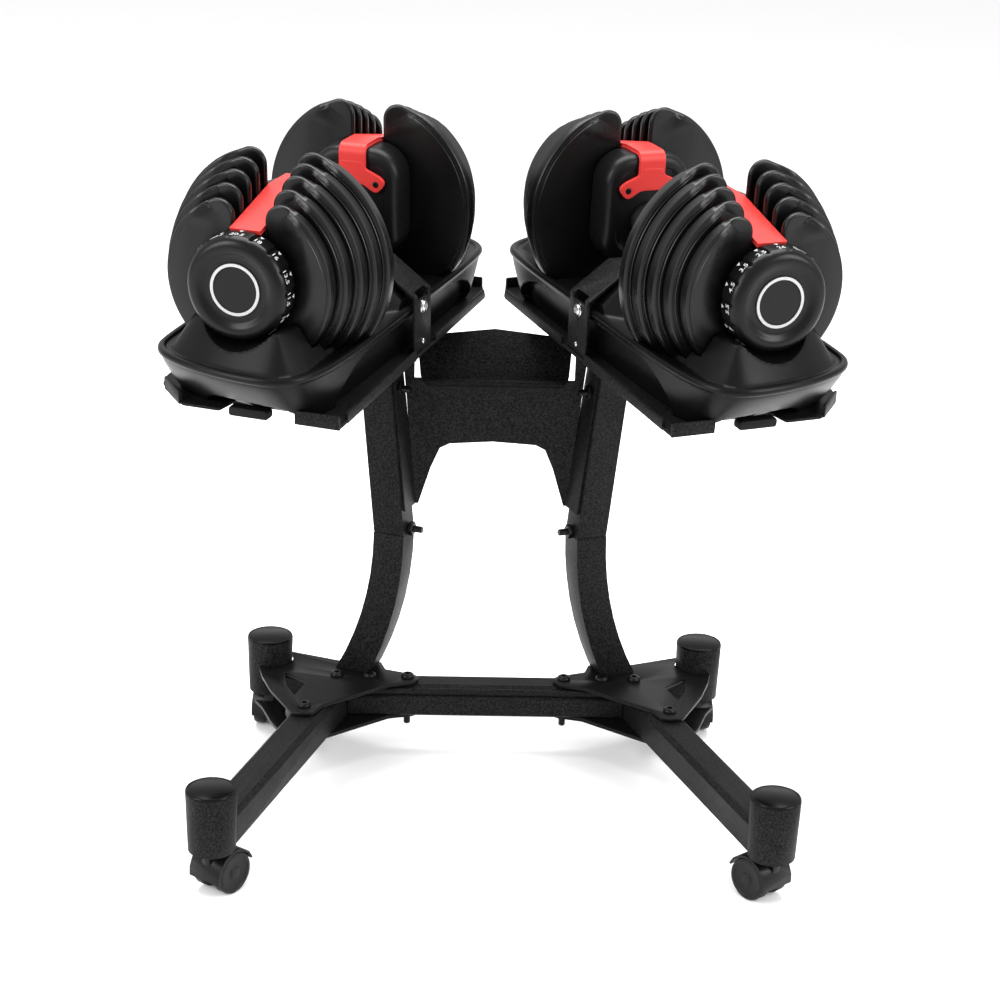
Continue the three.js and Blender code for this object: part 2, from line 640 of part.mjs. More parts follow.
// dial, shaft and discs turn as one; the dial's face is at y = 0
function dial(setting, handed) {
  const faces = [
    [0, 3], [DIAL_FACE_RADIUS - 7, 3], [DIAL_FACE_RADIUS - 4, 0], [DIAL_FACE_RADIUS, 0.5], [DIAL_RADIUS, 4],
    [DIAL_RADIUS, DIAL_DEPTH], [0, DIAL_DEPTH],
  ];
  const geometry = new THREE.LatheGeometry(faces.map(([r, y]) => new THREE.Vector2(r, y)), 26);
  let body = toSolid(geometry);
  const shaftEnd = plateFront(PLATE_COUNT - 1) + PLATE_THICKNESS + DUMBBELL_LENGTH / 2;
  body = body.add(bar(SHAFT_RADIUS, DIAL_DEPTH - 1, shaftEnd, 8));
  for (let index = 0; index < PLATE_COUNT; index += 1) {
    const front = plateFront(index) + DUMBBELL_LENGTH / 2 + RUNNING_GAP;
    body = body.add(selectorDisc(index, setting, handed).translate([0, front, 0]));
  }
  return body;
}

function housing() {
  const front = stackBack + HOUSING_GAP;
  const middle = (HOUSING_TOP + HOUSING_BOTTOM) / 2;
  const half = (HOUSING_TOP - HOUSING_BOTTOM) / 2;
  return slab(roundedRectangle(HOUSING_HALF_WIDTH, half, 30, 4), front, front + HOUSING_DEPTH)
    .translate([0, 0, middle]);
}

// the bar along the top of the slots, bent down over the housing to a forked foot
function rail() {
  const start = plateFront(0) + 0.8;
  const overHousing = stackBack + HOUSING_GAP;
  const face = overHousing + HOUSING_DEPTH + TOUCH_GAP;
  const top = HOUSING_TOP + TOUCH_GAP;
  const low = DIAL_RADIUS - 4;
  const t = RAIL_THICKNESS;
  const strip = sideSlab([
    [start, low], [overHousing, top], [face, top], [face, 34], [face + t, 34], [face + t, top + t - 3],
    [face + t - 3, top + t], [overHousing - 1, top + t + 3], [start, low + t + 3],
  ], -RAIL_WIDTH / 2, RAIL_WIDTH / 2);
  const foot = slab([
    [-34, 36], [-28, 30], [-13, 39], [13, 39], [28, 30], [34, 36], [30, 47], [14, 54], [-14, 54], [-30, 47],
  ], face, face + t);
  return strip.add(foot);
}

function grip() {
  const half = -(stackBack + HOUSING_GAP + HOUSING_DEPTH + TOUCH_GAP);
  const profile = [
    [0, -half], [GRIP_RADIUS + 3, -half], [GRIP_RADIUS + 3, 4 - half], [GRIP_RADIUS - 1, 12 - half],
    [GRIP_RADIUS + 1, 0], [GRIP_RADIUS - 1, half - 12], [GRIP_RADIUS + 3, half - 4], [GRIP_RADIUS + 3, half],
    [0, half],
  ];
  return toSolid(new THREE.LatheGeometry(profile.map(([r, y]) => new THREE.Vector2(r, y)), 18));
}

// ---------------------------------------------------------------- assembly

const stand = new THREE.Group();
stand.add(toMesh('crossbar', crossbar(), coatedSteel));

function addHalf(name, mirror) {
  const half = new THREE.Group();
  half.scale.x = mirror;
  stand.add(half);

  half.add(toMesh(`${name}_base_arms`, baseArms(), coatedSteel));
  const topFace = TUBE_TOP + TOUCH_GAP;
  const topGusset = gussetPlate(topFace, topFace + GUSSET_THICKNESS, CUP_RADIUS + RUNNING_GAP, LEG_PAD);
  half.add(toMesh(`${name}_top_gusset`, topGusset, coatedSteel));
  const lowFace = TUBE_BOTTOM - TOUCH_GAP;
  const bottomGusset = gussetPlate(lowFace - GUSSET_THICKNESS, lowFace, CASTER_CLEARANCE, [LEG_PAD[0]]);
  half.add(toMesh(`${name}_bottom_gusset`, bottomGusset, coatedSteel));

  for (const [end, cup, turn] of [['front', FRONT_CUP, FRONT_CASTER_TURN], ['back', BACK_CUP, BACK_CASTER_TURN]]) {
    const caster = new THREE.Group();
    caster.position.set(cup[0], cup[1], 0);
    caster.rotation.z = radians(turn);
    caster.add(toMesh(`${name}_${end}_caster_body`, casterBody(), blackPlastic));
    caster.add(toMesh(`${name}_${end}_caster_wheels`, wheelPair(), wheelRubber));
    half.add(caster);
  }

  const turned = new THREE.Group();
  turned.position.set(POST_JOINT[0], POST_JOINT[1], 0);
  turned.rotation.z = radians(BAY_YAW);
  half.add(turned);
  turned.add(toMesh(`${name}_leg`, leg(), coatedSteel));
  turned.updateMatrixWorld(true);

  const bay = new THREE.Group();
  bay.position.set(...BAY_CENTRE);
  bay.rotation.set(radians(BAY_TILT), 0, radians(BAY_YAW), 'ZXY');
  half.add(bay);

  // the platform's underside, as the post's own frame sees it
  const across = new THREE.Vector3(BAY_CENTRE[0] - POST_JOINT[0], BAY_CENTRE[1] - POST_JOINT[1], 0)
    .applyAxisAngle(new THREE.Vector3(0, 0, 1), -radians(BAY_YAW));
  const tilt = radians(BAY_TILT);
  const depthBelow = PLATFORM_UNDERSIDE - TOUCH_GAP;
  const planeY = across.y - Math.sin(tilt) * depthBelow;
  const planeZ = BAY_CENTRE[2] + Math.cos(tilt) * depthBelow;
  const flangeZ = planeZ - Math.tan(tilt) * planeY;
  const flangeX = Math.tan(lean) * (flangeZ - POST_JOINT[2]);
  turned.add(toMesh(`${name}_post`, post([flangeX, 0, flangeZ], [0, 0, flangeZ]), coatedSteel));

  bay.add(toMesh(`${name}_platform`, platform(), coatedSteel));
  bay.add(toMesh(`${name}_tray`, tray(), trayPlastic));
  bay.add(toMesh(`${name}_hold_down_strap`, holdDown(), coatedSteel));

  bay.add(toMesh(`${name}_grip`, grip(), softGrip));
  for (const [end, turn] of [['front', 0], ['back', Math.PI]]) {
    const stack = new THREE.Group();
    stack.rotation.z = turn;
    bay.add(stack);
    stack.add(toMesh(`${name}_${end}_housing`, housing(), blackPlastic));
    stack.add(toMesh(`${name}_${end}_rail`, rail(), redPlastic));
    const handed = mirror * (end === 'front' ? 1 : -1);
    const selector = toMesh(`${name}_${end}_dial`, dial(SETTING[name], handed), blackPlastic);
    selector.position.y = -DUMBBELL_LENGTH / 2;
    stack.add(selector);
    for (let index = 0; index < PLATE_COUNT; index += 1) {
      const plate = toMesh(`${name}_${end}_plate_${index + 1}`, weightPlate(index), plateFinish);
      plate.position.y = plateFront(index);
      stack.add(plate);
    }
  }
}

addHalf('right', 1);
addHalf('left', -1);

// the upright's inner face, in the panel's plane, at a height above the floor
function innerFace(height) {
  const centre = POST_JOINT[0] + Math.tan(lean) * (height - POST_JOINT[2]) * Math.cos(radians(BAY_YAW));
  const behind = PANEL_Y + PANEL_THICKNESS - POST_JOINT[1];
  return centre - POST_WIDTH / 2 / Math.cos(radians(BAY_YAW)) - behind * Math.tan(radians(BAY_YAW)) - TOUCH_GAP * 4;
}
stand.add(toMesh('panel', panel(innerFace), coatedSteel));

const outerBox = new THREE.Box3().setFromObject(stand, true);
const boxCentre = outerBox.getCenter(new THREE.Vector3());
stand.position.set(-boxCentre.x, -boxCentre.y, -outerBox.min.z);

const object = new THREE.Group();
object.add(stand);

export default object;
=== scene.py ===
"""Two dial-selected dumbbells in their trays, on a wheeled steel stand.

Lengths are in millimetres until a piece is placed, which turns them into metres.
"""

from math import atan2, cos, pi, radians, sin

import bmesh
import bpy
import numpy as np
from mathutils import Matrix, Vector


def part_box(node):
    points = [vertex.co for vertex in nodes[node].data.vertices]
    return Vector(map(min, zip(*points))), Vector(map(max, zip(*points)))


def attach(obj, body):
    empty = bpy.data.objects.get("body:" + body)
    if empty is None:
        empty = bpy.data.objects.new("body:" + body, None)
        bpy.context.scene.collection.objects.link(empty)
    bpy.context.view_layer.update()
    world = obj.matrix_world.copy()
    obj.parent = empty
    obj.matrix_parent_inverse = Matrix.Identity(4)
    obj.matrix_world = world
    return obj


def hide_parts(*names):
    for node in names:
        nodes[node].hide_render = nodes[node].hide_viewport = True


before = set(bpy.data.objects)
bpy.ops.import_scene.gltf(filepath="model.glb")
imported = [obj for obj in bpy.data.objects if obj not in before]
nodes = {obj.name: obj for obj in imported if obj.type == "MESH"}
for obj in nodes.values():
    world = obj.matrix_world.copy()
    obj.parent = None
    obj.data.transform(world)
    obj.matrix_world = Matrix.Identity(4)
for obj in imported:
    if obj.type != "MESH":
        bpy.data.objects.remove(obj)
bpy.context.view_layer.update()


# ---------------------------------------------------------------- camera
# A long lens a little to the left of the middle, looking down on the stand from
# just over two metres away.

eye = Vector((-0.0858, -2.11755, 1.0953))
yaw, pitch, roll = radians(2.474), radians(20.241), radians(1.979)
forward = Vector((sin(yaw) * cos(pitch), cos(yaw) * cos(pitch), -sin(pitch)))
level = Vector((cos(yaw), -sin(yaw), 0))
upright = level.cross(forward)
right = level * cos(roll) + upright * sin(roll)
above = upright * cos(roll) - level * sin(roll)
camera_data = bpy.data.cameras.new("camera")
camera_data.sensor_width = 36
camera_data.lens = 80.4
camera_data.clip_end = 50
camera = bpy.data.objects.new("camera", camera_data)
bpy.context.scene.collection.objects.link(camera)
turn = Matrix((right, above, -forward)).transposed()
camera.matrix_world = Matrix.Translation(eye) @ turn.to_4x4()
bpy.context.scene.camera = camera


# ---------------------------------------------------------------- floor and light
# A plain pale floor that the stand is rolled out on, one wide softbox overhead and
# a weaker one on each side of the front.

FLOOR_REACH = 30.0

floor_mesh = bpy.data.meshes.new("floor")
floor_mesh.from_pydata(
    [(FLOOR_REACH * x, FLOOR_REACH * y, 0) for x, y in ((-1, -1), (1, -1), (1, 1), (-1, 1))],
    [],
    [(0, 1, 2, 3)],
)
floor = bpy.data.objects.new("floor", floor_mesh)
bpy.context.scene.collection.objects.link(floor)
floor_paint = bpy.data.materials.new("pale floor")
floor_paint.use_nodes = True
floor_shader = floor_paint.node_tree.nodes["Principled BSDF"]
floor_shader.inputs["Base Color"].default_value = (0.92, 0.92, 0.92, 1)
floor_shader.inputs["Roughness"].default_value = 0.9
floor_mesh.materials.append(floor_paint)

world = bpy.data.worlds.new("studio")
world.use_nodes = True
world.node_tree.nodes["Background"].inputs["Color"].default_value = (1, 1, 1, 1)
world.node_tree.nodes["Background"].inputs["Strength"].default_value = 1.0
bpy.context.scene.world = world
bpy.context.scene.view_settings.view_transform = "Standard"


def softbox(name, place, aim, size, power):
    """A square area light at one point, turned to face another."""
    data = bpy.data.lights.new(name, "AREA")
    data.shape = "RECTANGLE"
    data.size, data.size_y = size
    data.energy = power
    light = bpy.data.objects.new(name, data)
    bpy.context.scene.collection.objects.link(light)
    light.location = place
    light.rotation_euler = (Vector(aim) - Vector(place)).to_track_quat("-Z", "Y").to_euler()


softbox("overhead softbox", (0, 0.5, 2.6), (0, 0, 0.4), (2.4, 1.6), 115)
softbox("left softbox", (-2.2, -1.2, 1.5), (0, 0, 0.4), (1.0, 1.6), 55)
softbox("right softbox", (2.2, -1.2, 1.5), (0, 0, 0.4), (1.0, 1.6), 55)


# ---------------------------------------------------------------- weight plates
# Each end carries five plates, a moulded black cover over metal. Each has a slot
# open at the top between two rounded lobes, a pocket for the selector disc on its
# outer face and a stepped double rim.

BAY_YAW, BAY_TILT = radians(21.8), radians(3.5)
PLATE_RADIUS = np.array((82, 90.5, 98, 104.5, 110))
PLATE_PITCH = 17.6
PLATE_THICKNESS = 16.9
STACK_FRONT = -182.8
SLOT_HALF = 16.0
LOBE = 17.0
POCKET_HALF = 35.0
POCKET_DEPTH = 8.4
POCKET_SLOPE = 22.0
RIM_DROP = 1.6

BAY_ACROSS = np.array((cos(BAY_YAW), sin(BAY_YAW), 0))
BAY_ALONG = np.array((-sin(BAY_YAW) * cos(BAY_TILT), cos(BAY_YAW) * cos(BAY_TILT), sin(BAY_TILT)))
BAY_UP = np.cross(BAY_ACROSS, BAY_ALONG)
BAY_CENTRE = np.mean(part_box("right_grip"), axis=0)
SIDES = {"right": 1, "left": -1}
ENDS = {"front": 1, "back": -1}


def in_bay(points, side, end="front"):
    """Bay millimetres to stand metres: an end at the back is turned half round,
    and the left side is mirrored in X."""
    local = np.asarray(points, float) / 1000 * (ENDS[end], ENDS[end], 1)
    placed = BAY_CENTRE + local @ np.stack([BAY_ACROSS, BAY_ALONG, BAY_UP])
    placed[..., 0] *= SIDES[side]
    return placed


def skin(name, grids, material, body, replaced=(), sharp=35):
    """One piece from closed skins. Each grid is rows by columns of points in metres:
    the last column joins the first, and the first and last rows are closed flat,
    unless they are the same row, as round a ring, or have drawn in to a point or line."""
    faces, start = [], 0
    for grid in grids:
        index = start + np.arange(grid.shape[0] * grid.shape[1]).reshape(grid.shape[:2])
        start += index.size
        beside = np.roll(index, -1, axis=1)
        quads = np.stack([index[:-1], beside[:-1], beside[1:], index[1:]], axis=-1)
        faces += quads.reshape(-1, 4).tolist()
        ring = np.allclose(grid[0], grid[-1], atol=1e-7)
        for row in (0, -1):
            spread = np.linalg.svd(grid[row] - grid[row].mean(axis=0), compute_uv=False)
            if spread[1] > 1e-5 and not ring:
                faces.append(index[row].tolist())
    data = bpy.data.meshes.new(name)
    data.from_pydata(np.concatenate([grid.reshape(-1, 3) for grid in grids]), [], faces)
    mesh = bmesh.new()
    mesh.from_mesh(data)
    bmesh.ops.remove_doubles(mesh, verts=mesh.verts, dist=2e-6)
    bmesh.ops.dissolve_degenerate(mesh, edges=mesh.edges, dist=1e-6)
    bmesh.ops.recalc_face_normals(mesh, faces=mesh.faces)
    mesh.to_mesh(data)
    mesh.free()
    data.shade_smooth()
    data.set_sharp_from_angle(angle=radians(sharp))
    data.materials.append(material)
    piece = bpy.data.objects.new(name, data)
    bpy.context.scene.collection.objects.link(piece)
    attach(piece, body)
    if replaced:
        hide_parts(*replaced)
    return piece


def satin(name, colour, roughness, grain, depth, speckle=0.0, metallic=0.0, mirror=0.16):
    """A moulded or coated surface: colour with a faint fleck, a fine bump of the
    given grain per metre, and roughness that varies a little over the piece. Mirror
    is how strongly it reflects head on."""
    material = bpy.data.materials.new(name)
    material.use_nodes = True
    tree = material.node_tree
    shader = tree.nodes["Principled BSDF"]
    shader.inputs["Metallic"].default_value = metallic
    shader.inputs["Specular IOR Level"].default_value = mirror
    place = tree.nodes.new("ShaderNodeTexCoord")
    fine = tree.nodes.new("ShaderNodeTexNoise")
    fine.inputs["Scale"].default_value = grain
    fine.inputs["Detail"].default_value = 3
    tree.links.new(place.outputs["Object"], fine.inputs["Vector"])
    broad = tree.nodes.new("ShaderNodeTexNoise")
    broad.inputs["Scale"].default_value = 14
    broad.inputs["Detail"].default_value = 4
    tree.links.new(place.outputs["Object"], broad.inputs["Vector"])
    fleck = tree.nodes.new("ShaderNodeMapRange")
    fleck.inputs["From Min"].default_value = 0.35
    fleck.inputs["From Max"].default_value = 0.7
    fleck.inputs["To Min"].default_value = 1 - speckle
    fleck.inputs["To Max"].default_value = 1 + speckle * 1.6
    tree.links.new(fine.outputs["Fac"], fleck.inputs["Value"])
    tint = tree.nodes.new("ShaderNodeMix")
    tint.data_type = "RGBA"
    tint.blend_type = "MULTIPLY"
    tint.inputs["Factor"].default_value = 1
    tint.inputs[6].default_value = (*colour, 1)
    tree.links.new(fleck.outputs["Result"], tint.inputs[7])
    tree.links.new(tint.outputs[2], shader.inputs["Base Color"])
    gloss = tree.nodes.new("ShaderNodeMapRange")
    gloss.inputs["From Min"].default_value = 0.3
    gloss.inputs["From Max"].default_value = 0.7
    gloss.inputs["To Min"].default_value = roughness - 0.05
    gloss.inputs["To Max"].default_value = roughness + 0.06
    tree.links.new(broad.outputs["Fac"], gloss.inputs["Value"])
    tree.links.new(gloss.outputs["Result"], shader.inputs["Roughness"])
    bump = tree.nodes.new("ShaderNodeBump")
    bump.inputs["Distance"].default_value = depth
    bump.inputs["Strength"].default_value = 0.6
    tree.links.new(fine.outputs["Fac"], bump.inputs["Height"])
    tree.links.new(bump.outputs["Normal"], shader.inputs["Normal"])
    return material


def smooth_step(value):
    """0 below 0, 1 above 1, an S between them."""
    t = np.clip(value, 0, 1)
    return t * t * (3 - 2 * t)


def circle(angle):
    """Points of the unit circle at these angles."""
    return np.stack([np.cos(angle), np.sin(angle)], axis=-1)


plate_cover = satin("plate cover", (0.0022, 0.0022, 0.0024), 0.3, 1400, 0.00012, 0.12, mirror=0.26)


def plate_skin(number):
    """Stations run from the tip of one lobe down round the rim to the tip of the
    other. Each station is a closed section: the outer face from the rim in to the
    slot, the slot's wall, the inner face back out to the rim, and the rim's wall."""
    innermost = number == len(PLATE_RADIUS) - 1
    radius = PLATE_RADIUS[number]
    lobe_x = SLOT_HALF + LOBE
    lobe_z = np.sqrt((radius - LOBE) ** 2 - lobe_x**2)
    shoulder = atan2(lobe_z, lobe_x)
    tip = (shoulder + pi) / 2
    pocket = POCKET_HALF + 1.5 * number
    # stations lie closer together where the pocket's slope meets the rim
    sparse_from = shoulder - 0.75
    near = np.linspace(shoulder, sparse_from, 56)
    far = np.linspace(sparse_from, -pi / 2, 52)
    angle = np.concatenate([near[1:], far[1:]])
    # outer and inner outlines of one half, with the way into the plate from each
    round_tip = np.linspace(tip, shoulder, 9)
    inside_tip = np.linspace(tip, pi, 9)
    lobe_centre = np.array((lobe_x, lobe_z))
    rim_x = radius * np.cos(angle)
    band = smooth_step((rim_x - pocket - 1.0) / (POCKET_SLOPE - 1))
    outer = np.concatenate([
        lobe_centre + LOBE * circle(round_tip),
        (radius - RIM_DROP * (1 - band))[:, None] * circle(angle),
    ])
    # the lobe draws in to meet the lowered rim smoothly
    outer[1:9] -= circle(round_tip)[1:] * RIM_DROP * np.linspace(0.2, 1, 8)[:, None]
    outer_in = -np.concatenate([circle(round_tip), circle(angle)])
    wall = np.stack([np.full_like(angle, SLOT_HALF), lobe_z * angle / shoulder], axis=-1)
    inner = np.concatenate([
        lobe_centre + LOBE * circle(inside_tip),
        np.where(angle[:, None] > 0, wall, SLOT_HALF * circle(angle)),
    ])
    inner_in = np.concatenate([
        -circle(inside_tip),
        np.where(angle[:, None] > 0, np.array((1.0, 0.0)), circle(angle)),
    ])
    band = np.concatenate([np.zeros(9), band])
    depth_in = np.array((0, 0.5, 1.0, 3.0, 3.3, 5.2, 5.6, 6.5))
    raised = np.array((3.2, 2.5, 2.1, 1.9, 0.9, 0.75, 0.1, 0))
    edge_drop = np.array((1.3, 0.5, 0.15, 0, 0, 0, 0, 0))
    rim_rings = outer[:, None] + outer_in[:, None] * depth_in[:, None]
    slot_rings = inner[:, None] + inner_in[:, None] * depth_in[:, None]
    start, stop = rim_rings[:, -1], slot_rings[:, -1]

    def pocket_edge(half):
        """Where each station crosses the pocket's side, or its round foot."""
        run = np.where(np.abs(start[:, 0] - stop[:, 0]) < 1e-6, 1, start[:, 0] - stop[:, 0])
        share = np.clip((start[:, 0] - half) / run, 0, 1)[:, None]
        straight = start + (stop - start) * share
        foot = np.concatenate([np.zeros((9, 2)), half * circle(angle)])
        below = np.concatenate([np.zeros(9, bool), angle < 0])[:, None]
        return np.where(below, foot, straight)

    def face(sunk, step):
        """Heights of one face's rings, from the rim in to the slot."""
        low = sunk + edge_drop
        rim = band[:, None] * raised * step + (1 - band[:, None]) * low
        crest = (1 - band) * sunk
        flat = np.full_like(band, sunk)
        slot_edge = np.tile(low, (len(band), 1))
        plan = np.concatenate([
            rim_rings,
            pocket_edge(pocket + POCKET_SLOPE)[:, None],
            pocket_edge(pocket)[:, None],
            slot_rings[:, ::-1],
        ], axis=1)
        height = np.concatenate([rim, crest[:, None], flat[:, None], slot_edge[:, ::-1]], axis=1)
        return plan, height

    front_plan, front = face(POCKET_DEPTH, 1.0)
    back_plan, back = face(3.2, 1.3) if innermost else face(1.6, 0.8)
    plan = np.concatenate([front_plan, back_plan[:, ::-1]], axis=1)
    depth = np.concatenate([front, PLATE_THICKNESS - back[:, ::-1]], axis=1)
    half = np.stack([plan[..., 0], depth, plan[..., 1]], axis=-1)
    other = half[::-1][1:] * np.array((-1, 1, 1))
    return np.concatenate([half, other])


for side in SIDES:
    for end in ENDS:
        for number in range(len(PLATE_RADIUS)):
            shape = plate_skin(number) + np.array((0, STACK_FRONT + PLATE_PITCH * number, 0))
            node = f"{side}_{end}_plate_{number + 1}"
            # the left dials are set to leave the two outer plates in the tray
            body = "stand" if side == "left" and number < 2 else f"{side}_dumbbell"
            skin(f"{node}_cover", [in_bay(shape, side, end)], plate_cover,
                 body, [node])


# ---------------------------------------------------------------- dials
# A moulded black knob on each end, with a recessed face, a white ring and fifteen
# numbered pads round its rim. Its shaft and selector discs turn with it.

DIAL_FACE = -210.0
DIAL_RADIUS = 49.5
DIAL_DEPTH = 26.0
SETTINGS = (
    "2.5", "3.5", "4.5", "5.5", "7", "8", "9", "10",
    "11.5", "13.5", "16", "18", "20.5", "22.5", "24",
)
SETTING_STEP = radians(24)
CHOSEN = {"left": 12, "right": 14}
# the settings at which each plate is picked up, the outermost plate first
PICKED = (
    (1, 3, 5, 7, 14),
    (2, 3, 6, 8, 11, 13, 14),
    (4, 5, 6, 9, 12, 13, 14),
    (7, 8, 9, 10, 11, 12, 13, 14),
    (10, 11, 12, 13, 14),
)

dial_plastic = satin("dial plastic", (0.0028, 0.0028, 0.003), 0.28, 1800, 0.00006, 0.08)
white_print = satin("white print", (0.42, 0.42, 0.42), 0.4, 900, 0.00002, 0.02)


def turned(profile, sides, radius_of=None):
    """A profile of (radius, depth) carried round the dumbbell's own line, with an
    optional change of radius that depends on the angle and the depth."""
    profile = np.asarray(profile, float)
    angle = np.linspace(0, 2 * pi, sides, endpoint=False)
    radius = np.tile(profile[:, 0, None], sides)
    if radius_of is not None:
        radius = radius + radius_of(angle[None, :], profile[:, 1, None])
    depth = np.tile(profile[:, 1, None], sides)
    return np.stack([radius * np.cos(angle), depth, radius * np.sin(angle)], axis=-1)


def pad_valleys(angle, depth):
    """Shallow V grooves between the fifteen pads, fading out at the front bevel."""
    off_pad = np.abs((angle / SETTING_STEP + 0.5) % 1 - 0.5)
    groove = np.clip(1 - (0.5 - off_pad) / 0.13, 0, 1)
    fade = smooth_step((depth - 5) / 4)
    return -2.1 * groove * fade


def selector_rim(number, setting, handed):
    """The arcs of one selector disc that carry its plate: a small rectangle swept
    through one setting's angle about the dumbbell's line, for each setting picked."""
    bars = []
    for position in PICKED[number]:
        middle = handed * SETTING_STEP * (position - setting) - pi / 2
        angle = np.linspace(middle - SETTING_STEP / 2, middle + SETTING_STEP / 2, 7)
        section = np.array(((28.5, 2.1), (28.5, 6.8), (24.7, 6.8), (24.7, 2.1)))
        bars.append(np.stack([
            section[None, :, 0] * np.cos(angle)[:, None],
            np.tile(section[:, 1], (7, 1)),
            section[None, :, 0] * np.sin(angle)[:, None],
        ], axis=-1))
    return bars


def printed(text, height):
    """A line of figures as a thin flat mesh, centred, in millimetres."""
    curve = bpy.data.curves.new("figures", "FONT")
    curve.body = text
    curve.size = height * 1.45
    curve.align_x = "CENTER"
    curve.align_y = "CENTER"
    curve.resolution_u = 2
    curve.offset = 0.02
    line = bpy.data.objects.new("figures", curve)
    bpy.context.scene.collection.objects.link(line)
    bpy.context.view_layer.update()
    depsgraph = bpy.context.evaluated_depsgraph_get()
    flat = bpy.data.meshes.new_from_object(line.evaluated_get(depsgraph))
    points = np.zeros(len(flat.vertices) * 3)
    flat.vertices.foreach_get("co", points)
    faces = [list(face.vertices) for face in flat.polygons]
    bpy.data.objects.remove(line)
    return points.reshape(-1, 3)[:, :2], faces


def wrapped(outlines, name, side, end, radius, body):
    """Flat figures bent round the dial's rim: along the line of text becomes angle,
    up the text becomes depth towards the plates."""
    points, faces, start = [], [], 0
    for plan, polygons, angle, depth in outlines:
        round_rim = angle - plan[:, 0] / radius
        points.append(np.stack([
            SIDES[side] * radius * np.cos(round_rim), depth + plan[:, 1], radius * np.sin(round_rim)
        ], axis=-1))
        faces += [[i + start for i in face] for face in polygons]
        start += len(plan)
    data = bpy.data.meshes.new(name)
    data.from_pydata(in_bay(np.concatenate(points), side, end), [], faces)
    data.materials.append(white_print)
    piece = bpy.data.objects.new(name, data)
    bpy.context.scene.collection.objects.link(piece)
    thicken = piece.modifiers.new("print", "SOLIDIFY")
    thicken.thickness = 0.0003
    thicken.offset = 0
    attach(piece, body)


triangle = (np.array(((-1.9, 2.0), (1.9, 2.0), (0, -1.8))), [[0, 1, 2]])
for side in SIDES:
    for end in ENDS:
        body = f"{side}_{end}_selector"
        knob = turned([
            # the recessed face, with the ring's channel
            (0, 3.1), (20.6, 3.1), (20.9, 2.7), (25.6, 2.7), (25.9, 3.3), (29.5, 3.3),
            # the rolled front and the rim
            (31.5, 2.9), (33.5, 1.9), (35.2, 0.8), (37, 0.2), (39, 0), (41.5, 0.15), (43.8, 0.7),
            (45.6, 1.7), (46.8, 2.9), (47.9, 4.3), (48.8, 5.9), (49.3, 7.2), (DIAL_RADIUS, 8.6),
            (DIAL_RADIUS, 13), (DIAL_RADIUS, 18), (DIAL_RADIUS, 24), (48.9, 25.2), (48.0, 25.8),
            # the back and the shaft
            (46, DIAL_DEPTH), (8, DIAL_DEPTH), (8, 114.5), (0, 114.5),
        ], 240, pad_valleys)
        discs = [knob]
        for number in range(len(PICKED)):
            front = STACK_FRONT - DIAL_FACE + PLATE_PITCH * number + 0.6
            web = turned([(8, 0), (28.6, 0), (29, 0.4), (29, 1.8), (28.6, 2.2), (8, 2.2)], 48)
            handed = SIDES[side] * ENDS[end]
            parts = [web] + selector_rim(number, CHOSEN[side], handed)
            discs += [part + np.array((0, front, 0)) for part in parts]
        place = np.array((0, DIAL_FACE, 0))
        skin(f"{side}_{end}_knob", [in_bay(part + place, side, end) for part in discs],
             dial_plastic, body, [f"{side}_{end}_dial"])
        ring = turned([(21.6, 3.0), (21.7, 2.4), (24.4, 2.4), (24.5, 3.0), (21.6, 3.0)], 120)
        skin(f"{side}_{end}_dial_ring", [in_bay(ring + place, side, end)], white_print,
             body)
        marks = []
        for index, value in enumerate(SETTINGS):
            angle = pi / 2 + SETTING_STEP * (index - CHOSEN[side])
            plan, faces = printed(value, 5.6)
            marks.append((plan, faces, angle, DIAL_FACE + 11.5))
            marks.append((*triangle, angle, DIAL_FACE + 20.3))
        wrapped(marks, f"{side}_{end}_dial_figures", side, end, DIAL_RADIUS + 0.1, body)


# ---------------------------------------------------------------- housings
# A deep moulded block behind each stack holds the selector's lock. Its corners are
# generously rounded and the face towards the hand has a shallow step round it.

HOUSING_GAP = 1.2
HOUSING_DEPTH = 34
STACK_BACK = STACK_FRONT + 4 * PLATE_PITCH + PLATE_THICKNESS
INNER_FACE = STACK_BACK + HOUSING_GAP + HOUSING_DEPTH + 0.3

housing_plastic = satin("housing plastic", (0.0035, 0.0035, 0.0038), 0.38, 1500, 0.00012, 0.1)


def rounded_outline(half_x, half_z, corner, steps=8):
    """A rectangle's outline, anticlockwise, with a quarter circle at each corner."""
    quarter = np.linspace(0, pi / 2, steps)
    arcs = []
    for index, signs in enumerate(((1, 1), (-1, 1), (-1, -1), (1, -1))):
        centre = np.array(signs) * (half_x - corner, half_z - corner)
        arcs.append(centre + corner * circle(quarter + index * pi / 2))
    return np.concatenate(arcs)


def loaf(half_x, half_z, corner, rings, steps=8):
    """A rounded outline carried through rings of (inset, depth)."""
    rows = []
    for inset, depth in rings:
        shrunk = max(corner - inset * 0.8, 1)
        outline = rounded_outline(half_x - inset, half_z - inset, shrunk, steps)
        rows.append(np.stack([outline[:, 0], np.full(len(outline), depth), outline[:, 1]], axis=-1))
    return np.stack(rows)


for side in SIDES:
    for end in ENDS:
        block = loaf(47, 56, 30, [
            (1.2, 1.2), (0.3, 1.5), (0, 2.4), (0, 24), (0.4, 28.0), (1.8, 31.6), (4.2, 34.0),
            (7.2, 35.0), (11, 35.2), (13, 35.2), (13.8, 34.6), (20, 34.6), (30, 34.6),
        ]) + np.array((0, STACK_BACK, 10))
        skin(f"{side}_{end}_lock_housing", [in_bay(block, side, end)], housing_plastic,
             f"{side}_dumbbell", [f"{side}_{end}_housing"])


# ---------------------------------------------------------------- red rails
# A coral strip lies in the slots over the plates, bends down over the housing and
# ends in a forked foot held by two black screws.

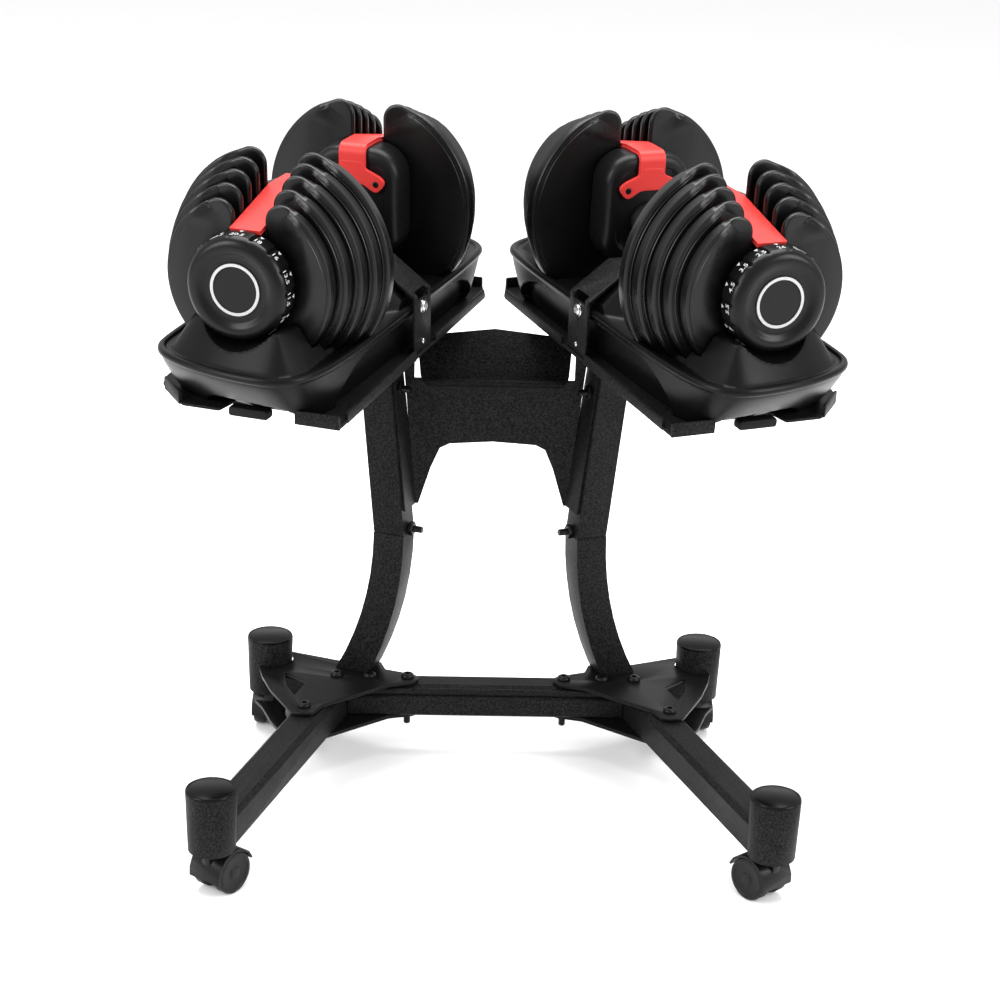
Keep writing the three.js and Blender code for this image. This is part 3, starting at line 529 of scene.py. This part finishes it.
red_top = satin("red rail", (0.5, 0.032, 0.028), 0.38, 1200, 0.00005, 0.04)
black_screw = satin("black screw", (0.003, 0.003, 0.003), 0.35, 900, 0.00003, 0.05)


def strip(path, half_width, thickness, lip=0.8):
    """A flat strip carried along a path of (depth, height): its section, square to
    the path at each station, is a thin rectangle with a small lip along its edges."""
    path = np.asarray(path, float)
    way = np.gradient(path, axis=0)
    way /= np.linalg.norm(way, axis=1)[:, None]
    out = np.stack([-way[:, 1], way[:, 0]], axis=-1)
    section = (
        (-1, lip, 0), (-1, thickness - lip, 0), (-1, thickness, lip), (1, thickness, lip),
        (1, thickness - lip, 0), (1, lip, 0), (1, 0, lip), (-1, 0, lip),
    )
    return np.stack([
        np.column_stack([side_sign * (half_width + wider), path + out * lift])
        for side_sign, lift, wider in section
    ], axis=1)


def bent(corners, radius=4.0, steps=6):
    """A path through corners, each rounded by a short quadratic curve."""
    corners = np.asarray(corners, float)
    points = [corners[0]]
    for before, at, after in zip(corners, corners[1:], corners[2:]):
        start = at + (before - at) * min(radius / np.linalg.norm(before - at), 0.5)
        stop = at + (after - at) * min(radius / np.linalg.norm(after - at), 0.5)
        t = np.linspace(0, 1, steps)[:, None]
        points += list((1 - t) ** 2 * start + 2 * t * (1 - t) * at + t * t * stop)
    points.append(corners[-1])
    return np.array(points)


def outline_plate(outline, thickness, ease=0.8):
    """A flat plate from its outline: the edge is eased on both faces, with each
    point moved inwards along the outline's own normal."""
    outline = np.asarray(outline, float)
    way = np.roll(outline, -1, axis=0) - np.roll(outline, 1, axis=0)
    way /= np.linalg.norm(way, axis=1)[:, None]
    onward = np.roll(outline, -1, axis=0)
    turning = np.sum(outline[:, 0] * onward[:, 1] - onward[:, 0] * outline[:, 1])
    inward = np.stack([-way[:, 1], way[:, 0]], axis=-1) * np.sign(turning)
    lower = ((ease * 2.2, 0), (ease, 0), (ease * 0.3, ease * 0.3), (0, ease))
    rings = lower + tuple((inset, thickness - depth) for inset, depth in lower[::-1])
    return np.stack([
        np.concatenate([outline + inward * inset, np.full((len(outline), 1), depth)], axis=1)
        for inset, depth in rings
    ])


def smoothed(corners, radius, steps=5):
    """A closed outline with every corner rounded by a short quadratic curve."""
    corners = np.asarray(corners, float)
    before, after = np.roll(corners, 1, axis=0), np.roll(corners, -1, axis=0)
    reach_back = np.linalg.norm(before - corners, axis=1)
    reach_on = np.linalg.norm(after - corners, axis=1)
    start = corners + (before - corners) * np.minimum(radius / reach_back, 0.48)[:, None]
    stop = corners + (after - corners) * np.minimum(radius / reach_on, 0.48)[:, None]
    t = np.linspace(0, 1, steps)[:, None, None]
    curve = (1 - t) ** 2 * start + 2 * t * (1 - t) * corners + t * t * stop
    return curve.transpose(1, 0, 2).reshape(-1, 2)


def screw_head(radius, height, socket, sides=32):
    """A domed round head with a socket, standing up from its seat at height 0."""
    return turned([
        (radius, 0), (radius, height * 0.35), (radius * 0.93, height * 0.68),
        (radius * 0.76, height * 0.9), (socket * 1.25, height), (socket, height * 0.97),
        (socket * 0.95, height * 0.35), (0.05, height * 0.35),
    ], sides)


RAIL_TOP = 66.3
RAIL_THICKNESS = 4.0
half_fork = [(12, 31), (21, 24.5), (27, 23), (33, 30), (35, 35), (30, 40), (13.5, 47), (12.5, 54)]
FORK = smoothed([(-x, z) for x, z in half_fork[::-1]] + half_fork, 4.5)
for side in SIDES:
    for end in ENDS:
        path = bent([
            (STACK_FRONT + 0.8, 45.5), (STACK_BACK + HOUSING_GAP, RAIL_TOP),
            (INNER_FACE - 0.2, RAIL_TOP), (INNER_FACE - 0.2, 44.5),
        ], 7, 7)
        half_width = np.where(path[:, 0] > STACK_BACK, 13.0, 14.5)
        band = strip(path, half_width, RAIL_THICKNESS)
        fork = outline_plate(FORK, RAIL_THICKNESS)[..., (0, 2, 1)] + np.array((0, INNER_FACE, 0))
        skin(f"{side}_{end}_red_rail", [in_bay(band, side, end), in_bay(fork, side, end)], red_top,
             f"{side}_dumbbell", [f"{side}_{end}_rail"], sharp=50)
        heads = []
        for x in (-25.5, 25.5):
            head = screw_head(3.2, 1.0, 1.3) + np.array((x, INNER_FACE + 3.9, 32))
            heads.append(in_bay(head, side, end))
        skin(f"{side}_{end}_rail_screws", heads, black_screw, f"{side}_dumbbell")


# ---------------------------------------------------------------- grips
# The handle is a soft rubber sleeve, barrelled in the middle, flared into the
# housings and ribbed round its length.

grip_rubber = satin("grip rubber", (0.004, 0.004, 0.0042), 0.6, 1100, 0.0002, 0.12)
GRIP_RADIUS = 16
RIB_PITCH = 3.2
half_length = -INNER_FACE
along = np.linspace(-half_length, half_length, 181)
swell = GRIP_RADIUS - 1.2 * (1 - np.cos(along / half_length * pi / 2))
flare = 3.4 * smooth_step((np.abs(along) - half_length + 12) / 9)
ribs = 0.35 * np.cos(along * 2 * pi / RIB_PITCH) * (np.abs(along) < half_length - 14)
profile = np.stack([swell + flare + ribs, along], axis=-1)
sleeve = turned(np.concatenate([[(0.1, -half_length)], profile, [(0.1, half_length)]]), 56)
for side in SIDES:
    skin(f"{side}_grip_sleeve", [in_bay(sleeve, side)], grip_rubber,
         f"{side}_dumbbell", [f"{side}_grip"])


# ---------------------------------------------------------------- trays
# Each dumbbell stands in a blow-moulded tray: a rounded rim, wells for the plates, a
# sloped block that cradles each dial, a raised saddle and recessed walls.

COLUMNS = 560
TRAY_RIM, TRAY_FOOT = -64.0, -114.0
LEDGE = -66.6
BLOCK_TOP = -34.0
SADDLE_TOP = -30.2
SADDLE_SHIFT, SADDLE_HALF = 8, 27
WELL_GAP = 2.2
CRADLE_RADIUS = DIAL_RADIUS + 3.1

tray_plastic = satin(
    "tray plastic", (0.0026, 0.0026, 0.0028), 0.32, 1300, 0.00012, 0.12, mirror=0.11)


def tray_outline():
    """The rim's plan, evenly spaced round it: quadratic curves through the middles of
    a sixteen-sided frame that is the same when turned half round, so each end leans
    back on one side. It starts at the middle of the outer side."""
    half = np.array((
        (92, 0), (92, 160), (84, 224), (62, 252), (15, 251), (-42, 236), (-85, 209), (-92, 170),
    ), float)
    corners = np.roll(np.concatenate([half, -half]), -1, axis=0)
    start = (np.roll(corners, 1, axis=0) + corners) / 2
    stop = np.roll(start, -1, axis=0)
    t = np.linspace(0, 1, 60, endpoint=False)[:, None]
    curve = ((1 - t) ** 2 * start[:, None] + 2 * t * (1 - t) * corners[:, None]
             + t * t * stop[:, None]).reshape(-1, 2)
    first = np.argmin(np.abs(curve[:, 1]) + 500 * (curve[:, 0] < 0))
    curve = np.roll(curve, -first, axis=0)
    loop = np.concatenate([curve, curve[:1]])
    run = np.concatenate([[0], np.cumsum(np.linalg.norm(np.diff(loop, axis=0), axis=1))])
    at = np.linspace(0, run[-1], COLUMNS, endpoint=False)
    return np.stack([np.interp(at, run, loop[:, 0]), np.interp(at, run, loop[:, 1])], axis=-1)


RIM_PLAN = tray_outline()
rim_way = np.roll(RIM_PLAN, -2, axis=0) - np.roll(RIM_PLAN, 2, axis=0)
rim_way /= np.linalg.norm(rim_way, axis=1)[:, None]
RIM_OUT = np.stack([rim_way[:, 1], -rim_way[:, 0]], axis=-1)


def soft_max(a, b, softness):
    """The larger of two heights, with the corner between them rounded."""
    return (a + b + np.sqrt((a - b) ** 2 + softness**2)) / 2


def soft_min(a, b, softness):
    """The smaller of two heights, with the corner between them rounded."""
    return -soft_max(-a, -b, softness)


def deck_height(x, y):
    """The tray's top: a ledge, a block at each end that slopes down to it inside the
    rim, the saddle across the middle, then circular wells for the plates and the dial
    cut down into it."""
    across, along = np.abs(x), np.abs(y)
    spots = np.stack([x, y], axis=-1).reshape(-1, 1, 2)
    inward = np.concatenate([
        np.linalg.norm(part - RIM_PLAN[None, ::2], axis=-1).min(axis=1)
        for part in np.array_split(spots, 40)
    ]).reshape(np.shape(x))
    block = soft_min(TRAY_RIM + 1.35 * (inward - 14), BLOCK_TOP - 1.75 * (across - 53), 1.5)
    block = soft_min(block, BLOCK_TOP, 1.0) - 60 * smooth_step((150 - along) / 10)
    height = soft_max(LEDGE, block, 1.2)
    lift = soft_min(SADDLE_TOP, TRAY_RIM - 0.2 + 89 - across, 1.0)
    shoulder = np.abs(y - SADDLE_SHIFT) - SADDLE_HALF
    height = soft_max(height, soft_min(lift, lift - 1.1 * shoulder, 1.0), 0.8)
    fronts = -STACK_FRONT - PLATE_PITCH * np.arange(len(PLATE_RADIUS)) + 1.6
    for radius, front in zip(PLATE_RADIUS + WELL_GAP, fronts):
        well = -np.sqrt(np.clip(radius**2 - x**2, 0, None))
        inside = (along < front) & (along > -STACK_BACK - 2.6) & (across < radius)
        height = np.where(inside, np.minimum(height, well), height)
    cradle = -np.sqrt(np.clip(CRADLE_RADIUS**2 - x**2, 0, None))
    inside = (along > 150) & (across < CRADLE_RADIUS)
    return np.where(inside, np.minimum(height, cradle), height)


def tray_skin():
    """Rings from the middle line out to the rim carry the deck's height; then the
    rim's bead and the walls, which lean in to the foot and are pushed in below the
    arches of their recesses."""
    # each point's partner is the one across the tray, and the spine runs between them
    partner = (COLUMNS // 2 - np.arange(COLUMNS)) % COLUMNS
    spine = np.stack([np.zeros(COLUMNS), (RIM_PLAN[:, 1] + RIM_PLAN[partner, 1]) * 0.32], axis=-1)
    edge = RIM_PLAN - RIM_OUT * 9
    share = np.linspace(1, 0, 62)[:, None, None]
    plan = spine * share + edge * (1 - share)
    rows = list(np.concatenate([plan, deck_height(plan[..., 0], plan[..., 1])[..., None]], axis=-1))
    bead = (
        (8.0, -66.4), (7.0, -65.4), (6.0, -64.4), (4.6, -64), (3, -64.0), (1.6, -64.4),
        (0.6, -65.4), (0.1, -66.8), (0, -68.2), (0.3, -69.6), (1.2, -70.8), (2.4, -71.6),
        (2.9, -72.8),
    )
    for inset, height in bead:
        plan = RIM_PLAN - RIM_OUT * inset
        rows.append(np.column_stack([plan, np.full(COLUMNS, height)]))
    for t in np.linspace(0.03, 1, 34):
        shrink = 1 - np.array((0.03, 0.15)) * t**1.15
        plan = (RIM_PLAN - RIM_OUT * 3) * shrink
        height = -73 + (TRAY_FOOT + 73) * t
        across, along = np.abs(plan[:, 0]), np.abs(plan[:, 1])
        span = np.clip((along - 92) / 80, 0, 1)
        side_arch = TRAY_FOOT + 38 * np.sqrt(1 - span**2) - 60 * (across < 76)
        slid = plan[:, 0] - 12 * np.sign(plan[:, 1])
        end_rise = 15 * np.sqrt(np.clip(1 - (slid / 47) ** 4, 0, 1))
        end_arch = TRAY_FOOT + end_rise - 60 * (along < 170)
        push = 9 * smooth_step((side_arch - height) / 2.4)
        push += 14 * smooth_step((end_arch - height) / 2.4)
        rows.append(np.column_stack([plan - RIM_OUT * push[:, None], np.full(COLUMNS, height)]))
    return np.stack(rows)


TRAY_SHAPE = tray_skin()
rubber = satin("rubber", (0.004, 0.004, 0.004), 0.7, 900, 0.0001, 0.1)
for side in SIDES:
    skin(f"{side}_tray_shell", [in_bay(TRAY_SHAPE, side)], tray_plastic,
         "stand", [f"{side}_tray"], sharp=28)
    pads = []
    for y in (-200, 200):
        pad = loaf(20, 4.6, 3, [(2, 0), (0.5, 0.6), (0, 2), (0, 11), (0.6, 12.4), (2.2, 13)])
        pads.append(in_bay(pad + np.array((-8, y - 6.5, TRAY_FOOT - 4.2)), side))
    skin(f"{side}_tray_pads", pads, rubber, "stand")


# ---------------------------------------------------------------- platforms
# A powder-coated sheet under each tray, with bent-up tabs at its corners and a lip
# along its inner edge. The coat is charcoal with a coarse fleck.

SHEET_THICKNESS = 3.0
PLATFORM_LOW = TRAY_FOOT - 0.3 - SHEET_THICKNESS

coat = satin("powder coat", (0.0066, 0.0066, 0.0069), 0.46, 520, 0.0004, 0.85, mirror=0.07)


def fold(start, end, inward, high):
    """A bent-up tab: a flat bar from start to end with its top edge rounded over and
    its two ends a little lower."""
    start, end, inward = (np.asarray(v, float) for v in (start, end, inward))
    nip = (end - start) * 0.02
    section = np.array((
        (0, 0), (-0.2, 0.6), (-0.2, high - 1.2), (0.3, high),
        (2.2, high), (2.8, high - 1.2), (2.8, 0),
    ))
    into, lift = section[:, :1], section[:, 1]
    return np.stack([
        np.column_stack([at + inward * into, PLATFORM_LOW + np.where(lift > 1, lift - shy, lift)])
        for at, shy in ((start, 1.0), (start + nip, 0), (end - nip, 0), (end, 1.0))
    ])


for side in SIDES:
    sheet = smoothed([
        (-104, -214), (-60, -214), (-52, -188), (14, -188), (18, -212), (56, -212), (98, -170),
        (104, -150), (104, 176), (64, 216), (-80, 216), (-93, 190),
    ], 3)
    grids = [outline_plate(sheet, SHEET_THICKNESS, 0.7) + np.array((0, 0, PLATFORM_LOW))]
    slant = np.array((1, -1)) / np.sqrt(2)
    grids += [
        fold((-104, -216), (-60, -216), (0, 1), 13),
        fold((60.5, -209.5), (91.5, -178.5), (-slant[0], slant[0]), 13),
        fold((99.5, 180.5), (68.5, 211.5), (-slant[0], -slant[0]), 13),
        fold((-36, 216), (-80, 216), (0, -1), 13),
        fold((-93.3, 186), (-97.6, 36), (1, 0.03), 10),
        fold((-99.2, -19), (-103.8, -196), (1, 0.03), 10),
    ]
    skin(f"{side}_platform_sheet", [in_bay(grid, side) for grid in grids], coat,
         "stand", [f"{side}_platform"])


# ---------------------------------------------------------------- hold-down straps
# One bent strip over each tray's saddle, down both of its sides, slotted at the bends
# and held by a bright socket bolt and a small screw on each arm.

STRAP_FACE = 95.1

bright_metal = satin("bright steel", (0.62, 0.62, 0.63), 0.22, 700, 0.00002, 0.04, 1.0)


def eased(name, node, material, body, width=1.0, segments=2, sharp=32):
    """A copy of a CAD node with its doubles merged, its flat faces joined and its
    edges rounded by a bevel of the given width in millimetres."""
    mesh = bmesh.new()
    mesh.from_mesh(nodes[node].data)
    bmesh.ops.remove_doubles(mesh, verts=mesh.verts, dist=2e-6)
    bmesh.ops.dissolve_limit(
        mesh, angle_limit=radians(0.6), use_dissolve_boundaries=False,
        verts=mesh.verts, edges=mesh.edges,
    )
    data = bpy.data.meshes.new(name)
    mesh.to_mesh(data)
    mesh.free()
    data.shade_smooth()
    data.materials.clear()
    data.materials.append(material)
    piece = bpy.data.objects.new(name, data)
    bpy.context.scene.collection.objects.link(piece)
    bevel = piece.modifiers.new("eased edges", "BEVEL")
    bevel.width = width / 1000
    bevel.segments = segments
    bevel.limit_method = "ANGLE"
    bevel.angle_limit = radians(sharp)
    bevel.use_clamp_overlap = True
    bevel.harden_normals = True
    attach(piece, body)
    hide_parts(node)
    return piece


def laid(grid, axis, at):
    """A turned shape with its own line laid along another axis and its start set at
    a point, in millimetres."""
    axis = np.asarray(axis, float) / np.linalg.norm(axis)
    first = np.cross((0.0, 0.0, 1.0) if abs(axis[2]) < 0.9 else (1.0, 0.0, 0.0), axis)
    first /= np.linalg.norm(first)
    return grid @ np.stack([first, axis, np.cross(axis, first)]) + np.asarray(at, float)


def bolt(at, axis, side, head, height, washer=0.0, place=in_bay):
    """A domed socket head of the given radius and height, over its washer if it has
    one, standing up from a point along the axis, in millimetres."""
    grids = [screw_head(head, height, head * 0.42, 28) + np.array((0, washer, 0))]
    if washer:
        rim = head * 1.35
        section = [(rim, 0), (rim, washer * 0.7), (head * 1.25, washer), (0.1, washer)]
        grids.append(turned(section, 28))
    return [place(laid(grid, axis, at), side) for grid in grids]


for side in SIDES:
    eased(f"{side}_strap", f"{side}_hold_down_strap", coat, "stand", 0.7)
    bright = []
    for hand in (1, -1):
        bright += bolt((hand * STRAP_FACE, SADDLE_SHIFT, -70), (hand, 0, 0), side, 5.2, 2.6, 0.9)
        bright += bolt((hand * STRAP_FACE, SADDLE_SHIFT, -106), (hand, 0, 0), side, 2.6, 1.4)
    skin(f"{side}_strap_bolts", bright, bright_metal, "stand")


# ---------------------------------------------------------------- uprights and panel
# Square tubes with rounded corners: a curved leg sleeved into a straight post, bolted
# through at the joint, and a bent sheet panel between the posts.

NUT_SIDES = 6
POST_HALF = 17.2
# the stand is drawn about its own middle, and this is where the right dumbbell's is
DRAWN_BAY = np.array((0.1692, -0.0489, 0.5844))


def on_stand(points, side):
    """Millimetres drawn about the stand's own middle to metres, the left mirrored."""
    placed = np.asarray(points, float) / 1000 + (BAY_CENTRE - DRAWN_BAY)
    placed[..., 0] *= SIDES[side]
    return placed


nut = turned([(0.1, 0), (6.8, 0), (7.6, 0.8), (7.6, 5.2), (6.8, 6), (0.1, 6)], NUT_SIDES)
stud_end = turned([(0.1, 0), (3.6, 0), (3.6, 14.5), (3.0, 15.5), (0.1, 15.5)], 24)
for side in SIDES:
    eased(f"{side}_curved_leg", f"{side}_leg", coat, "stand", 4.0, 4)
    eased(f"{side}_straight_post", f"{side}_post", coat, "stand", 3.0, 3)
    studs = []
    for height, outward in ((252, 0.5), (404, 16.5)):
        middle = np.array((101.4, 12, height)) + outward * BAY_ACROSS
        inner, outer = middle - POST_HALF * BAY_ACROSS, middle + POST_HALF * BAY_ACROSS
        studs += [on_stand(laid(shape, -BAY_ACROSS, inner), side) for shape in (nut, stud_end)]
        studs += bolt(outer, BAY_ACROSS, side, 7.2, 4.2, place=on_stand)
    skin(f"{side}_post_bolts", studs, black_screw, "stand")
eased("rest_panel", "panel", coat, "stand", 0.9)


# ---------------------------------------------------------------- base frame
# A crossbar between two angled arms of square tube, with a gusset plate above and
# below each node, through-bolted, and welded cups for the casters.

GUSSET_TOP, GUSSET_LOW = 83.6, 42.4
CUP_TOP = 108.2

gusset_coat = satin("gusset coat", (0.004, 0.004, 0.0042), 0.34, 900, 0.00008, 0.2, mirror=0.09)
cap_plastic = satin("cap plastic", (0.0022, 0.0022, 0.0022), 0.25, 900, 0.00004, 0.06, mirror=0.08)


def crossbar_skin():
    """The bar's section carried straight across: a square tube whose upper front edge
    steps back under a rounded bead."""
    low, high = (np.array(v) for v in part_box("crossbar"))
    front, foot, back, top = low[1] * 1000, low[2] * 1000, high[1] * 1000, high[2] * 1000
    bead = np.linspace(-0.4 * pi, 0.75 * pi, 9)
    section = np.concatenate([
        [(front + 2, foot), (front, foot + 2), (front, top - 11.5), (front + 0.8, top - 10.6),
         (front + 2.6, top - 9.6)],
        np.array((front + 5, top - 5.6)) + circle(bead) * (-3.0, 3.8),
        [(front + 10, top - 1.6), (front + 12, top), (back - 3, top), (back, top - 3),
         (back, foot + 2), (back - 2, foot)],
    ]) / 1000
    return np.stack([
        np.column_stack([np.full(len(section), x), section])
        for x in (low[0], low[0] + 0.001, high[0] - 0.001, high[0])
    ])


bolt_tail = turned([(0.1, 0), (3.6, 0), (3.6, 12), (2.9, 13), (0.1, 13)], 20)
cap = turned([
    (24.0, 0), (24.2, 1.2), (23.6, 2.0), (22.2, 2.2), (21.6, 1.8), (20.9, 2.2), (0.1, 2.6),
], 72)
skin("base_crossbar", [crossbar_skin()], coat, "stand", ["crossbar"])
for side in SIDES:
    eased(f"{side}_arms_and_cups", f"{side}_base_arms", coat, "stand", 1.4)
    for name, node in (("upper_gusset", "top_gusset"), ("lower_gusset", "bottom_gusset")):
        eased(f"{side}_{name}", f"{side}_{node}", gusset_coat, "stand", 0.8)
    heads = []
    for x, y in ((191, -77), (160, 0), (125, -1), (84, -1)):
        heads += bolt((x, y, GUSSET_TOP), (0, 0, 1), side, 7.0, 4.0, place=on_stand)
        heads += bolt((x, y, GUSSET_LOW), (0, 0, -1), side, 6.4, 5.0, place=on_stand)
        heads.append(on_stand(laid(bolt_tail, (0, 0, -1), (x, y, GUSSET_LOW - 0.4)), side))
    skin(f"{side}_gusset_bolts", heads, black_screw, "stand")
    caps = []
    for x, y in ((266, -315), (234, 43.5)):
        caps.append(on_stand(laid(cap, (0, 0, 1), (x, y, CUP_TOP)), side))
    skin(f"{side}_cup_caps", caps, cap_plastic, "stand")


# ---------------------------------------------------------------- casters
# Twin-wheel furniture casters: a moulded hood on a stem that turns in its cup, and
# two discs with a smooth tread and a dished hub.

caster_black = satin("caster plastic", (0.004, 0.004, 0.0042), 0.32, 1000, 0.00005, 0.08)
tread_black = satin("caster tread", (0.006, 0.006, 0.0062), 0.45, 900, 0.00008, 0.1)
TURNS = {"front": radians(38), "back": radians(8)}
wheel = turned([
    (3.4, 6), (18, 6), (20.2, 6.6), (21, 8), (21, 16.4), (20.4, 17.8), (18.8, 18.4), (17, 18.5),
    (16.2, 17.8), (15, 17.4), (6.5, 17.4), (5.8, 18.2), (4.8, 18.5), (0.1, 18.5),
], 72)
core = turned([(0.1, -6.5), (3.4, -6.5), (3.4, 6.5), (0.1, 6.5)], 24)
for side in SIDES:
    for end in ENDS:
        eased(f"{side}_{end}_hood", f"{side}_{end}_caster_body", caster_black,
              f"{side}_{end}_caster", 0.6)
        middle = np.mean(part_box(f"{side}_{end}_caster_wheels"), axis=0) * 1000
        swivel = TURNS[end] * SIDES[side]
        axle = np.array((cos(swivel), sin(swivel), 0))
        parts = [laid(shape, way, middle) / 1000
                 for shape, way in ((wheel, axle), (wheel, -axle), (core, axle))]
        skin(f"{side}_{end}_twin_wheels", parts, tread_black,
             f"{side}_{end}_wheels", [f"{side}_{end}_caster_wheels"])
